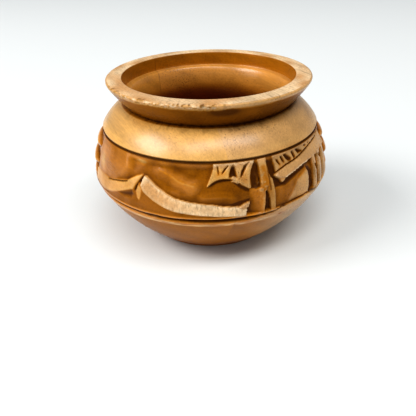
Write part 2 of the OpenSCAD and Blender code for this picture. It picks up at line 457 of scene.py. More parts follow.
# Lines that the broad slopes fall away from.
PANEL_TOP = [(-66, 71), (-43, 71)]
FRONDS_TOP = [(-3, 70.5), (20, 70.5)]
LEAVES_TOP = [(26, 70.5), (64, 70.5)]
WEDGE_EDGE = [(47, 43), (47, 56)]
POST_LOW, POST_HIGH = 42.5, 62
SCORE_W = 1.0
SCORE_DEPTH = 0.9

# How rough and worn the rim's outer edge is round the bowl.
RIM_WEAR = [(-180, 0.1), (-90, 0.2), (-55, 0.6), (-25, 0.75), (-2, 1), (6, 0.5), (14, 0.15), (90, 0.1)]

# How dark and how pale the base is round the bowl: less dark and paler at the right, where a sheen is
# painted.
BASE_DARKENING = [(-180, 0.38), (-60, 0.38), (-30, 0.44), (15, 0.4), (40, 0.14), (80, 0.1), (120, 0.3)]
BASE_PALE_AND_SHEEN = [(-180, 0.15), (-60, 0.15), (15, 0.2), (40, 0.4), (80, 0.42), (120, 0.2)]
# Extra paleness on the shoulder round the bowl: handled wear, highest where highlights are painted.
SHOULDER_WEAR_AND_HIGHLIGHT = [(-180, 0.1), (-50, 0.12), (-25, 0.26), (0, 0.1), (15, 0.3), (30, 0.16), (60, 0.12)]
# Painted shade on the flare under the rim, round the bowl: least at the left.
FLARE_SHADE = [(-180, 0.7), (-70, 0.66), (-40, 0.68), (-15, 0.8), (40, 0.82), (80, 0.74)]
NECK_PITS = [(-180, 0.2), (-60, 0.3), (-35, 1), (-15, 0.8), (5, 1), (45, 0.8), (70, 0.2)]

# The V slot under the band: its middle (per cent), half width and depth (mm) round the bowl.
SLOT_MIDDLE = [
    (-150, 38.8), (-75, 39), (-10, 39.4), (13, 39.5), (26, 40.2), (31, 42), (46, 43), (56, 40),
    (90, 38.8),
]
SLOT_HALF = [
    (-150, 1.2), (-60, 0.9), (-20, 1.0), (13, 1.1), (20, 0.75), (30, 0.3), (46, 0.45), (60, 0.9),
    (90, 1.2),
]
SLOT_DEEP = [
    (-150, 1.7), (-60, 1.4), (-20, 1.8), (13, 1.9), (20, 1.2), (30, 0.4), (46, 0.7), (60, 1.4),
    (90, 1.7),
]

# A cut reaches this far over its outline, in mm.
CUT_OVERLAP = 0.12


class Carving:
    """Depth below the turned surface, and how dark (staining and painted shade) or pale (wear and
    painted highlights) each place is, on a grid.
    """

    def __init__(self, azimuth, z):
        self.true_azimuth = azimuth
        self.true_z = z
        # The scene starts at 70 degrees left of the front and is cut twice.
        self.azimuth = (azimuth + 0.35 * noise(azimuth, z, 9, 7, 11) + 70) % 180 - 70
        self.z = z + 0.12 * noise(azimuth, z, 7, 6, 12)
        self.per_cent = self.z / HEIGHT * 100
        self.depth = np.zeros_like(z)
        self.stain_and_shade = np.zeros_like(z)
        self.pale = np.zeros_like(z)

    def away(self, outline):
        """Distance in mm from an outline, negative inside."""
        return outline_distance(outline, self.azimuth, self.z)

    def along(self, polyline):
        """Distance in mm from a line."""
        return line_distance(polyline, self.azimuth, self.z)

    def finish(self, cover, pale, stain_and_shade):
        """Moves the finish towards the given paleness and darkness where cover is 1."""
        self.pale += (pale - self.pale) * cover
        self.stain_and_shade += (stain_and_shade - self.stain_and_shade) * cover

    def stand(self, outline, depth, pale=0.0, stain_and_shade=0.0, wall=0.4):
        """Wood left standing inside an outline, with a steep wall outside it."""
        cover = 1 - smooth(self.away(outline), 0, wall)
        self.depth += (depth - self.depth) * cover
        self.finish(cover, pale, stain_and_shade)

    def bevel(self, outline, edge, width, near, far, pale, stain_and_shade=0.0, wall=0.35):
        """A slope inside an outline: near is its depth at the edge line, far is that width away."""
        slope = near + (far - near) * np.clip(self.along(edge) / width, 0, 1)
        self.stand(outline, slope, pale, stain_and_shade, wall)

    def hollow(self, outline, depth, slope=1.2, stain_and_shade=1.0, soft=0.4):
        """A cut with a V floor inside an outline, darkened by dirt and painted shade that reach full
        strength soft mm in.
        """
        inside = -self.away(outline)
        target = depth * (1 - np.exp(-np.clip(inside + CUT_OVERLAP, 0, None) * slope * 2 / depth))
        self.depth = np.where(inside > -CUT_OVERLAP, np.maximum(self.depth, target), self.depth)
        self.finish(smooth(inside, -0.15, soft), 0.0, stain_and_shade)

    def dome(self, outline, half, depth, pale):
        """A round lobe inside an outline, as high as the turned surface in its middle."""
        inside = np.clip(-self.away(outline) / half, 0, 1)
        round_top = depth * (1 - np.sqrt(1 - (1 - inside) ** 2))
        self.depth = np.where(inside > 0, np.minimum(self.depth, round_top), self.depth)
        self.finish(smooth(inside, 0.1, 0.8), pale, 0.0)

    def arris(self, polyline, width, pale, only=1.0):
        """A worn edge along a line, paler in broken patches."""
        broken = 0.6 + 0.6 * noise(self.true_azimuth, self.true_z, 1.6, 1.2, 28)
        self.pale += pale * broken * only * spot(self.along(polyline), 0, width)

    def crease(self, polyline, width, rise, pale):
        """Two gouge passes that meet in a low ridge along a line."""
        away = self.along(polyline)
        self.depth -= rise * np.clip(1 - away / width, 0, 1)
        self.pale += pale * spot(away, 0, 0.35)

    def scratch(self, polyline, half, depth, stain_and_shade):
        """A fine dark groove along a line."""
        line = spot(self.along(polyline), 0, half)
        self.depth = np.maximum(self.depth, depth * line)
        self.stain_and_shade = np.maximum(self.stain_and_shade, stain_and_shade * line)


def carve_ground(c):
    """The sunk ground, cut with a gouge and paler where it is worn."""
    a, z = c.true_azimuth, c.true_z
    c.depth = RELIEF_DEPTH + 0.22 * noise(a, z, 14, 7, 21) - 0.1
    c.depth += 0.16 * (0.5 - scoops(a, z, 10, 4, 22))
    # Just under the scored line the ground climbs back to the turned surface.
    c.depth *= 0.45 + 0.55 * smooth(BAND_TOP_Z - z, 0.2, 2.0)
    c.crease(GROUND_RIDGE, 3.2, 0.7, 0.1)
    c.crease(LOW_RIDGE, 2.4, 0.45, 0.05)
    c.stain_and_shade += 0.14 + 0.16 * noise(a, z, 7, 2.4, 71)
    c.pale += 0.12 * smooth(noise(a, z, 5, 2.6, 72), 0.1, 0.8)


def carve_panel(c):
    """The smooth panel on the left with a painted reflection streak, the worn ground beside it, painted
    shade under the fronds and the cuts at its far end.
    """
    a, z = c.true_azimuth, c.true_z
    true_per_cent = z / HEIGHT * 100
    c.bevel(PANEL, PANEL_TOP, 14, 0.35, 1.15, 0.08, 0.14, wall=4.5)
    # A painted reflection: a pale upright streak on the panel's left.
    c.pale += 0.3 * spot(c.azimuth, -62, 3.5) * spot(true_per_cent, 59, 6)
    # Painted shade on the ground under the fronds.
    c.stain_and_shade += 0.3 * (spot(c.azimuth, 6, 9) * smooth(BAND_TOP_Z - z, 5, 9))
    on_panel = 1 - smooth(c.away(PANEL), -1.5, 1.5)
    c.depth += 0.2 * on_panel * (0.5 - scoops(a, z, 15, 13, 23))
    worn = spot(c.azimuth, -33, 4.5) * spot(true_per_cent, 69, 1.2)
    c.pale += 0.4 * worn * (0.7 + 0.5 * noise(a, z, 3, 1.2, 73))
    for outline in SIDE_CUTS:
        c.hollow(outline, 2.3, 1.3, 0.7)


def carve_land(c):
    """The shore that runs down to the palm, and the hill and the tent on the left."""
    c.stand(BELOW_SHORE, 0.3, 0.0, 0.3, wall=0.8)
    far_left = smooth(-c.azimuth, 5, 28)
    c.bevel(SHORE, SHORE_LOW_EDGE, 4.2, 0.05, 0.95, 0.92 - 0.14 * far_left)
    c.hollow(SHORE_SHADOW, 2.2, 1.2, 0.8)
    c.stand(SHORE_LEAF, 0.4, 0.6, 0, wall=0.3)
    c.bevel(HILL, HILL_LOW_EDGE, 5.0, 0.15, 1.0, 0.3, 0.1, wall=0.9)
    # Painted shade: a dark line in the corner where the hill meets the panel.
    c.scratch(HILL_LINE, 0.3, 1.5, 0.75)
    c.hollow(HILL_SHADOW, 1.2, 0.45, 0.45)
    c.hollow(TENT_CUT, 1.7, 1.6, 0.6)
    c.stand(TENT_FOLD, 0.2, 0.28, 0.05, wall=0.7)


def carve_fronds(c):
    """The palm's fronds, fanned under the scored line, raw wood painted palest at their top as a
    highlight.
    """
    # A painted highlight towards the scored line.
    top = smooth(c.per_cent, 66.5, 70)
    c.bevel(FRONDS, FRONDS_TOP, 7.5, 0.05, 0.8, 0.26 + 0.5 * top, 0.06)
    for outline in FROND_SHADOWS:
        c.hollow(outline, 2.5, 1.8, 0.85)
    for outline in FROND_CREASES:
        c.hollow(outline, 1.1, 1.6, 0.7)
    for outline in FROND_CUTS:
        c.hollow(outline, 2.3, 1.3, 0.72, 0.9)
    for outline in TWIGS:
        c.stand(outline, 0.9, 0.5, 0.0, wall=0.25)


def carve_trunk(c):
    """The palm's forked trunk, under a dark arch."""
    top = smooth(c.per_cent, 66.5, 70)
    c.hollow(TRUNK_ARCH, 2.2, 1.1, 0.62, 1.0)
    lit = spot(c.azimuth, 19.6, 1.3) * (1 - smooth(c.away(TRUNK_ARCH), -0.6, 0.0))
    c.finish(0.6 * lit, 0.1, 0.2)
    c.bevel(LEFT_LEG, LEFT_LEG_EDGE, 5.6, 0.15, 1.8, 0.06, 0.2)
    # Paler at its top as a painted highlight, darker lower down.
    c.stand(TRUNK_STRIP, 0.3, 0.12 + 0.5 * top, 0.3 * (1 - top))
    c.bevel(RIGHT_LEG, RIGHT_LEG_EDGE, 3.0, 0.25, 0.9, 0.2, 0.3)
    c.hollow(TRUNK_CUT, 2.4, 1.5, 1.0)
    c.hollow(TRUNK_SIDE_CUT, 2.4, 1.4, 0.85)
    c.scratch(TRUNK_CREASE, 0.3, 0.9, 0.7)
    # The trunk's varnish is bumpy, and pale specks are painted on it as glints.
    near = spot(c.azimuth, 20.4, 2.2) * spot(c.per_cent, 58, 7)
    c.depth += 0.3 * near * noise(c.true_azimuth, c.true_z, 0.9, 0.9, 29)
    c.pale += 0.6 * near * smooth(noise(c.true_azimuth, c.true_z, 1.0, 0.8, 30), 0.35, 0.7)


def carve_wall(c):
    """The hut's wall, scraped upright, with a pale wedge at its right."""
    c.stand(WALL_FACE, 1.05, 0.1, 0.3, wall=0.4)
    on_wall = 1 - smooth(c.away(WALL_FACE), -0.8, 0)
    c.depth += 0.13 * on_wall * noise(c.true_azimuth, c.true_z, 1.6, 7, 26)
    c.bevel(WALL_WEDGE, WEDGE_EDGE, 6, 0.35, 1.0, 0.36, 0.06, wall=1.8)


def carve_roof(c):
    """Leaves over the hut's long eave, and the shadow under it."""
    # A painted highlight: the leaves are paler towards the scored line.
    top = smooth(c.per_cent, 68, 70.4)
    c.bevel(LEAVES, LEAVES_TOP, 5, 0.1, 0.8, 0.3 + 0.35 * top, 0.12)
    for outline in LEAF_CUTS:
        c.hollow(outline, 2.1, 1.3, 0.8, 0.6)
    c.bevel(EAVE, EAVE_LOW_EDGE, 4.6, 0.08, 0.6, 0.62)
    c.stand(EAVE_END, 0.6, 0.14, 0, wall=0.3)
    front_part = smooth(c.azimuth, 30, 33) * (1 - smooth(c.azimuth, 46, 52))
    c.arris(EAVE_LOW_EDGE, 0.4, 0.3, only=front_part)
    groove = spot(c.along(EAVE_LINE), 0, 0.28)
    c.depth = np.maximum(c.depth, 1.3 * groove)
    c.finish(groove, 0.0, 1.0)
    c.hollow(EAVE_SHADOW, 1.9, 1.6, 0.75)


def carve_porch(c):
    """The doorway, and the posts that stand to the right of it."""
    c.hollow(DOOR_CUT, 2.5, 1.1, 0.8)
    for middle, half in POST_MIDDLES:
        left, right = middle - half, middle + half
        post = [(left, POST_LOW), (left, POST_HIGH), (right, POST_HIGH), (right, POST_LOW)]
        c.stand(post, 0.2, 0.4)
    for outline in POST_CUTS:
        c.hollow(outline, 2.2, 1.4, 0.8)


def roughen(c):
    """Raw wood is rough, with the marks of the chisel across it, and all the wood is mottled."""
    a, z = c.true_azimuth, c.true_z
    raw = smooth(c.pale, 0.35, 0.8)
    c.depth += raw * (0.07 * noise(a, z, 0.8, 2.6, 24) + 0.06 * noise(a, z, 1.3, 0.9, 27))
    c.depth += 0.03 * noise(a, z, 3, 2, 25)
    c.stain_and_shade += 0.12 * smooth(noise(a, z, 2.4, 3.6, 74), 0.0, 0.8) * (1 - 0.6 * raw)


def carve(azimuth, z):
    """The whole carved band: returns depth, darkness (staining and painted shade) and paleness."""
    c = Carving(azimuth, z)
    carve_ground(c)
    carve_panel(c)
    for outline in CLOUDS:
        c.dome(outline, 2.6, RELIEF_DEPTH, 0.3)
    carve_land(c)
    carve_wall(c)
    carve_roof(c)
    carve_porch(c)
    carve_fronds(c)
    carve_trunk(c)
    roughen(c)
    above_foot = smooth(z, BAND_LOW_Z - 0.25, BAND_LOW_Z + 0.25)
    inside = above_foot * (1 - smooth(z, BAND_TOP_Z - 0.3, BAND_TOP_Z))
    return c.depth * inside, c.stain_and_shade * inside, c.pale * inside


def carve_lines(azimuth, z):
    """The scored line over the band and the V slot under it: depth, and darkness in them that is dirt
    and painted shade.
    """
    score = np.clip(1 - np.abs(z - BAND_TOP_Z - SCORE_W / 4) / (SCORE_W / 2), 0, 1)
    middle = around(azimuth, SLOT_MIDDLE) / 100 * HEIGHT + 0.1 * noise(azimuth, z, 6, 200, 31)
    half = around(azimuth, SLOT_HALF)
    slot = np.clip(1 - np.abs(z - middle) / half, 0, 1)
    depth = np.maximum(score * SCORE_DEPTH, slot * around(azimuth, SLOT_DEEP))
    # The grooves are darkened as dirt and as painted shade.
    return depth, np.maximum(smooth(score, 0.0, 0.25), smooth(slot, 0.1, 0.5))


def padded(field, reach, axis):
    """The field with more columns, which wrap round the bowl, or more rows, which repeat."""
    if axis == 1:
        return np.concatenate([field[:, -reach:], field, field[:, :reach]], 1)
    low, high = np.repeat(field[:1], reach, 0), np.repeat(field[-1:], reach, 0)
    return np.concatenate([low, field, high], 0)


def blur(field, across, up):
    """A box blur, twice, that wraps round the bowl."""
    for _ in range(2):
        for axis, reach in ((1, across), (0, up)):
            wide = padded(field, reach, axis)
            total = np.cumsum(np.concatenate([np.zeros_like(wide.take([0], axis)), wide], axis), axis)
            size = 2 * reach + 1
            n = field.shape[axis]
            field = (total.take(range(size, size + n), axis) - total.take(range(n), axis)) / size
    return field


# ---------------------------------------------------------------- depth and finish of the bowl
class Surface:
    """Depth and finish of every grid point, outside and in. A set of rows is a mask."""

    def __init__(self):
        self.azimuth, self.z = np.meshgrid(AZIMUTH, ROWS[:, 1])
        self.row_r, self.row_z = ROWS[:, 0], ROWS[:, 1]
        self.outside = np.arange(len(ROWS)) < len(OUTER)
        self.inside = ~self.outside
        self.depth = np.zeros_like(self.z)
        self.stain_and_shade = np.zeros_like(self.z)
        self.pale = np.zeros_like(self.z)
        self.red = np.zeros_like(self.z)

    def rows(self, low, high, side):
        """The rows of one side between two heights."""
        return side & (self.row_z > low) & (self.row_z < high)

    def noise(self, rows, across, up, seed):
        return noise(self.azimuth[rows], self.z[rows], across, up, seed)


def finish_base(s):
    """The base is dark, with a painted sheen on its right, and painted reddish shade near the foot."""
    # A painted sheen makes the right of the base paler and less dark.
    s.pale[s.outside] = around(AZIMUTH, BASE_PALE_AND_SHEEN)
    s.stain_and_shade[s.outside] = around(AZIMUTH, BASE_DARKENING)
    # Painted reddish shade on the underside near the foot.
    s.red[s.outside] = 0.5 * smooth(14 - s.z[s.outside], 0, 12)


def finish_shoulder(s, shoulder):
    """Handling has worn the shoulder golden, with highlights painted on it, and the edge under the slot
    is worn pale with a painted highlight.
    """
    # Handled wear with painted highlights, palest at mid shoulder, front left and front right.
    worn = spot(s.z[shoulder], 0.775 * HEIGHT, 4.0) * around(s.azimuth[shoulder], SHOULDER_WEAR_AND_HIGHLIGHT)
    s.pale[shoulder] = 0.36 + 0.07 * s.noise(shoulder, 16, 4, 61) + worn
    s.stain_and_shade[shoulder] = 0
    # The edge under the slot is worn pale, and painted paler as a lit edge.
    under_slot = s.outside & (np.abs(s.row_z - SLOT_Z + SLOT_W / 2 + 0.5) < 0.8)
    s.pale[under_slot] = 0.3 + 0.25 * s.noise(under_slot, 2.5, 0.6, 62)
    s.stain_and_shade[under_slot] = 0


def finish_band(s):
    """The carving itself: hollows are darkened by dirt and painted shade, and edges are worn pale."""
    band = s.rows(FINE_LOW_Z, FINE_TOP_Z, s.outside) & (s.row_r > NECK_R + 2)
    azimuth, z = s.azimuth[band], s.z[band]
    relief, dark, light = carve(azimuth, z)
    lines, groove_dirt_and_shade = carve_lines(azimuth, z)
    relief = np.maximum(relief, lines)
    s.depth[band] = relief
    # Places lower than the carving round them are darkened, as dirt and as painted shade.
    hollow = relief - blur(relief, 4, 3)
    wide_hollow_dirt_and_shade = np.clip((relief - blur(relief, 12, 9)) * 0.4, 0, 0.35)
    s.stain_and_shade[band] = np.clip(dark + groove_dirt_and_shade, 0, 1) + np.clip(hollow, 0, 0.35) + wide_hollow_dirt_and_shade
    worn = light * (1 - groove_dirt_and_shade) + np.clip(-0.5 * hollow, 0, 0.25)
    carved = (z > BAND_LOW_Z) & (z < BAND_TOP_Z)
    s.pale[band] = np.where(carved, worn, s.pale[band])


def cloud_shoulder(s, shoulder):
    """Handled wood: slow clouds on the shoulder, long streaks on its right."""
    streak = s.noise(shoulder, 45, 1.1, 63) * smooth(s.azimuth[shoulder], 0, 30)
    cloud = 0.05 * np.clip(s.noise(shoulder, 9, 5, 64), 0, 1)
    s.stain_and_shade[shoulder] += np.clip(0.1 * streak, 0, 1) + cloud


def finish_flare(s):
    """The flare faces down under the rim and is painted dark as shade, less towards the rim, and there
    is a knot under the front edge.
    """
    flare = s.outside & (s.row_z > NECK_Z + 0.2) & (s.row_r < RIM_R - 0.2)
    azimuth, z = s.azimuth[flare], s.z[flare]
    up = (z - NECK_Z) / (HEIGHT - NECK_Z)
    # Painted shade, lighter towards the rim.
    s.stain_and_shade[flare] = around(azimuth, FLARE_SHADE) - 0.2 * up + 0.12 * s.noise(flare, 12, 3, 43)
    s.stain_and_shade[flare] += 0.9 * np.exp(-((azimuth - 7) / 6.5) ** 2 - ((z - HEIGHT + 3.0) / 1.5) ** 2)
    s.pale[flare] = 0.05 + 0.12 * up


def finish_neck(s):
    """The neck groove is painted dark as shade under the flare, and there are pits on its lower side.
    """
    neck = s.rows(NECK_Z - 2.2, NECK_Z + 1.5, s.outside) & (s.row_r < RIM_R)
    z = s.z[neck]
    speck = 0.6 + 0.4 * s.noise(neck, 1.4, 0.7, 44)
    # Painted shade along the neck groove, under the flare.
    s.stain_and_shade[neck] += 0.5 * np.exp(-np.abs(z - NECK_Z - 0.1) / 0.5) * speck
    pits = smooth(s.noise(neck, 1.3, 0.8, 47), 0.2, 0.7) * around(s.azimuth[neck], NECK_PITS)
    s.stain_and_shade[neck] += 0.28 * pits * smooth(z, NECK_Z - 2.0, NECK_Z - 1.0)


def wear_rim(s):
    """Worn fibres along the rim's outer edge, roughest at the front left."""
    rim = s.outside & (s.row_z > HEIGHT - 2.6) & (s.row_r > RIM_R - 3)
    rough = around(AZIMUTH, RIM_WEAR)
    fibre = s.noise(rim, 0.9, 0.45, 41)
    chips = np.clip(0.3 + 0.7 * fibre + 0.3 * s.noise(rim, 5, 3, 42), 0, 1)
    edge = smooth(s.z[rim], HEIGHT - 2.4 - 0.6 * s.noise(rim, 4, 50, 48), HEIGHT - 1.2)
    s.depth[rim] += chips * rough * edge * 0.5
    s.pale[rim] += (0.2 + rough * (0.5 + 0.6 * fibre)) * edge
    s.stain_and_shade[rim] = s.stain_and_shade[rim] * (1 - edge) + 0.85 * smooth(-fibre, 0.3, 0.6) * rough * edge


def finish_inside(s):
    """A dark seat wall, a pale ledge and rim top, a glossy throat with a painted highlight on its lip,
    and painted dark reddish shade in the depths.
    """
    s.pale[s.inside] = 0.08
    seat = s.inside & (s.row_z < HEIGHT - 0.3) & (s.row_r > SEAT_R - 0.05)
    s.stain_and_shade[seat] = 0.06 + 0.1 * s.noise(seat, 14, 2, 45)
    ledge = s.inside & (np.abs(s.row_z - LEDGE_Z) < 0.3) & (s.row_r < SEAT_R)
    s.pale[ledge] = 0.3
    top = s.row_z > HEIGHT - 0.05
    top_azimuth = s.azimuth[top]
    top_r = s.row_r[top, None] + 0 * top_azimuth
    s.pale[top] = 0.92 + 0.16 * noise(top_azimuth, top_r, 10, 4, 46)
    # Painted shade: deeper down the hollow the wood turns dark reddish brown, and higher up it is
    # painted paler.
    deep = s.inside & (s.row_z < LEDGE_Z - 1)
    s.red[deep] = smooth(LEDGE_Z - s.z[deep], 3, 20)
    s.pale[deep] += 0.2 * (1 - s.red[deep])
    # A painted highlight on the rounded lip under the ledge.
    lip = s.rows(LEDGE_Z - 2.6, LEDGE_Z - 0.01, s.inside) & (s.row_r < LEDGE_R + 0.1)
    s.pale[lip] = 0.26


def build_surface():
    """The whole surface, with slow hand-made unevenness. The foot and the axis stay true."""
    s = Surface()
    shoulder = s.rows(BAND_TOP_Z, NECK_Z, s.outside)
    finish_base(s)
    finish_shoulder(s, shoulder)
    finish_band(s)
    cloud_shoulder(s, shoulder)
    finish_flare(s)
    finish_neck(s)
    wear_rim(s)
    finish_inside(s)
    row_number = np.arange(len(ROWS))[:, None]
    s.depth += 0.03 * noise(s.azimuth, s.z * 0 + row_number, 24, 9, 51)
    s.depth = np.maximum(s.depth, 0)
    s.depth[[0, -1]] = 0
    s.depth[s.row_z < 0.9] = 0
    for field in (s.stain_and_shade, s.pale, s.red):
        np.clip(field, 0, 1, out=field)
    return s


def grid_points():
    """Points and finish of the bowl's grid. Its first and last rows are single points."""
    s = build_surface()
    r = np.maximum(ROWS[:, :1] - s.depth * NORMALS[:, :1], 0)
    z = ROWS[:, 1:] - s.depth * NORMALS[:, 1:]
    a = np.radians(AZIMUTH)[None, :]
    points = np.stack([r * np.sin(a), -r * np.cos(a), np.broadcast_to(z, r.shape)], -1)
    flat = points[1:-1].reshape(-1, 3)
    points = np.concatenate([[[0, 0, ROWS[0, 1]]], flat, [[0, 0, ROWS[-1, 1]]]])
    finish = np.stack([s.stain_and_shade, s.pale, s.red], -1)
    finish = np.concatenate([finish[:1, 0], finish[1:-1].reshape(-1, 3), finish[-1:, 0]])
    return points, finish


def build_bowl():
    """The whole bowl as points, faces and finish, before it is cut along the glue joint."""
    points, finish = grid_points()
    rings = len(ROWS) - 2
    column = np.arange(COLUMNS)
    after = (column + 1) % COLUMNS
    quads = []
    for i in range(rings - 1):
        low, high = 1 + i * COLUMNS, 1 + (i + 1) * COLUMNS
        quads.append(np.stack([low + column, low + after, high + after, high + column], 1))
    last, top = 1 + (rings - 1) * COLUMNS, len(points) - 1
    fans = np.concatenate([
        np.stack([np.zeros_like(column), 1 + after, 1 + column], 1),
        np.stack([np.full_like(column, top), last + column, last + after], 1),
    ])
    return points * MM, np.concatenate(quads), fans, finish


def cut_at_joint(mesh, keep_far_side):
    """Keeps one side of the glue joint and closes it with a flat face."""
    bm = bmesh.new()
    bm.from_mesh(mesh)
    bmesh.ops.bisect_plane(
        bm, geom=bm.verts[:] + bm.edges[:] + bm.faces[:], dist=1e-7,
        plane_co=-JOINT_NORMAL * JOINT_OFFSET * MM, plane_no=JOINT_NORMAL,
        clear_inner=not keep_far_side, clear_outer=keep_far_side,
    )
    seam = [e for e in bm.edges if e.is_boundary]
    bmesh.ops.triangle_fill(bm, edges=seam, use_beauty=True, normal=JOINT_NORMAL)
    bmesh.ops.recalc_face_normals(bm, faces=bm.faces[:])
    bm.to_mesh(mesh)
    bm.free()


def board(name, whole, keep_far_side):
    """One board of the bowl, as an object in the scene."""
    points, quads, fans, finish = whole
    mesh = bpy.data.meshes.new(name)
    mesh.from_pydata(points.tolist(), [], quads.tolist() + fans.tolist())
    colour = mesh.color_attributes.new("finish", "FLOAT_COLOR", "POINT")
    colour.data.foreach_set("color", np.concatenate([finish, np.ones((len(finish), 1))], 1).ravel())
    cut_at_joint(mesh, keep_far_side)
    mesh.shade_smooth()
    mesh.set_sharp_from_angle(angle=SHARP_ANGLE)
    obj = bpy.data.objects.new(name, mesh)
    bpy.context.scene.collection.objects.link(obj)
    return obj


# ---------------------------------------------------------------- materials
class Nodes:
    """Short hand for building a material's nodes."""

    def __init__(self, name):
        self.material = bpy.data.materials.new(name)
        self.material.use_nodes = True
        self.tree = self.material.node_tree
        self.tree.nodes.clear()

    def add(self, kind, inputs=None, **settings):
        node = self.tree.nodes.new(kind)
        for key, value in settings.items():
            setattr(node, key, value)
        for key, value in (inputs or {}).items():
            socket = node.inputs[key]
            if isinstance(value, bpy.types.NodeSocket):
                self.tree.links.new(value, socket)
            else:
                socket.default_value = value
        return node

    def math(self, operation, a, b=0.0, clamp=False):
        return self.add("ShaderNodeMath", {0: a, 1: b}, operation=operation, use_clamp=clamp).outputs[0]

    def ramp(self, value, stops):
        """A smooth ramp from [place, colour or grey] stops."""
        node = self.add("ShaderNodeValToRGB", {0: value})
        ramp = node.color_ramp
        while len(ramp.elements) < len(stops):
            ramp.elements.new(0.5)
        for element, (place, tint) in zip(ramp.elements, stops):
            element.position = place
            element.color = (tint, tint, tint, 1) if isinstance(tint, float) else (*tint, 1)
        return node.outputs[0]

    def mix(self, factor, a, b, blend="MIX"):
        node = self.add("ShaderNodeMix", data_type="RGBA", blend_type=blend)
        for socket, value in ((node.inputs[0], factor), (node.inputs[6], a), (node.inputs[7], b)):
            if isinstance(value, bpy.types.NodeSocket):
                self.tree.links.new(value, socket)
            else:
                socket.default_value = value if isinstance(value, float) else (*value, 1)
        return node.outputs[2]

    def noise(self, vector, scale, detail=3.0, roughness=0.5):
        inputs = {"Vector": vector, "Scale": scale, "Detail": detail, "Roughness": roughness}
        return self.add("ShaderNodeTexNoise", inputs).outputs["Fac"]

    def times(self, a, b, clamp=False):
        return self.math("MULTIPLY", a, b, clamp)

    def plus(self, a, b, clamp=False):
        return self.math("ADD", a, b, clamp)

    def stretched(self, vector, scale):
        return self.add("ShaderNodeMapping", {"Vector": vector, "Scale": scale}).outputs[0]


def srgb(r, g, b):
    """A colour given as 0 to 255 screen values."""
    shares = (r / 255, g / 255, b / 255)
    return tuple(((v + 0.055) / 1.055) ** 2.4 if v > 10 / 255 else v / 12.92 for v in shares)


VARNISH = srgb(160, 96, 5)
HONEY = srgb(194, 122, 22)
RAW = srgb(192, 144, 92)
BLEACHED = srgb(222, 190, 148)
# Dark brown of stains, pores and the glue thread, and of painted shade.
STAIN_AND_SHADE_BROWN = srgb(58, 25, 3)
# Reddish brown of the painted shade deep inside and near the foot.
DEPTH_SHADE = srgb(112, 38, 6)
MAIN_GOLD = srgb(204, 156, 92)
SIDE_GOLD = srgb(212, 160, 84)
FLOOR_GREY = srgb(217, 219, 218)


def wood_tone(n, streaks, fibres, cloudy):
    """Growth rings, hair-fine fibres and slow clouds of tone, as a shade to multiply by."""
    split = n.add("ShaderNodeSeparateXYZ", {0: streaks})
    across = n.plus(n.times(split.outputs[0], 520.0), n.times(split.outputs[2], 900.0))
    rings = n.math("SINE", n.plus(across, n.times(n.noise(streaks, 26.0, 2.0), 14.0)))
    tone = n.plus(n.times(rings, 0.035), n.times(fibres, 0.45))
    tone = n.plus(tone, n.times(cloudy, 0.55))
    return n.ramp(tone, [(0.3, 0.62), (0.5, 0.9), (0.7, 1.15)])


def wood_finish(n, gold, shade, marks, chisel_marks):
    """The finish goes from deep varnish through worn gold to raw wood, which is torn."""
    stain_and_shade, pale, red = marks
    tints = [(0.0, VARNISH), (0.2, HONEY), (0.42, gold), (0.8, RAW), (1.0, BLEACHED)]
    base = n.mix(1.0, n.ramp(pale, tints), shade, "MULTIPLY")
    torn = n.ramp(chisel_marks, [(0.3, 0.5), (0.48, 0.95), (0.7, 1.12)])
    rawness = n.math("SUBTRACT", n.times(pale, 1.6), 0.7, clamp=True)
    base = n.mix(rawness, base, n.mix(1.0, base, torn, "MULTIPLY"))
    # Darker where stained and where shade is painted.
    base = n.mix(n.times(stain_and_shade, 0.9), base, STAIN_AND_SHADE_BROWN)
    # Reddish brown where shade is painted, deep inside and near the foot.
    return n.mix(n.times(red, 0.75), base, DEPTH_SHADE)


def open_pores(n, place, hair, pore_share):
    """Dots on the end grain and short dashes along it, in patches: 1 in a pore."""
    pores = n.ramp(n.noise(hair, 2600.0, 1.0, 0.4), [(0.60, 0.0), (0.70, 1.0)])
    patch = n.ramp(n.noise(place, 38.0, 2.0), [(0.42, 0.1), (0.62, 1.0)])
    return n.times(n.times(pores, patch), pore_share)


def glue_thread(n, place):
    """A thin dark thread along the glue joint. It fades in behind the bowl's axis."""
    inputs = {0: place, 1: JOINT_NORMAL}
    joint = n.add("ShaderNodeVectorMath", inputs, operation="DOT_PRODUCT").outputs["Value"]
    gap = n.math("ABSOLUTE", n.plus(joint, JOINT_OFFSET * MM))
    thread = n.ramp(n.times(gap, 2000.0), [(0.1, 1.0), (0.4, 0.0)])
    y = n.add("ShaderNodeSeparateXYZ", {0: place}).outputs[1]
    behind = n.times(y, 60.0, clamp=True)
    return n.times(thread, n.times(behind, 0.45))


def wood_bump(n, fibres, pores, chisel_marks, pale):
    """Fine relief: fibres, sunk pores and the torn surface of raw wood."""
    height = n.math("SUBTRACT", n.times(fibres, 0.35), n.times(pores, 0.9))
    height = n.plus(height, n.times(n.times(chisel_marks, pale), 2.0))
    inputs = {"Height": height, "Strength": 0.35, "Distance": 0.0002}
    return n.add("ShaderNodeBump", inputs).outputs[0]


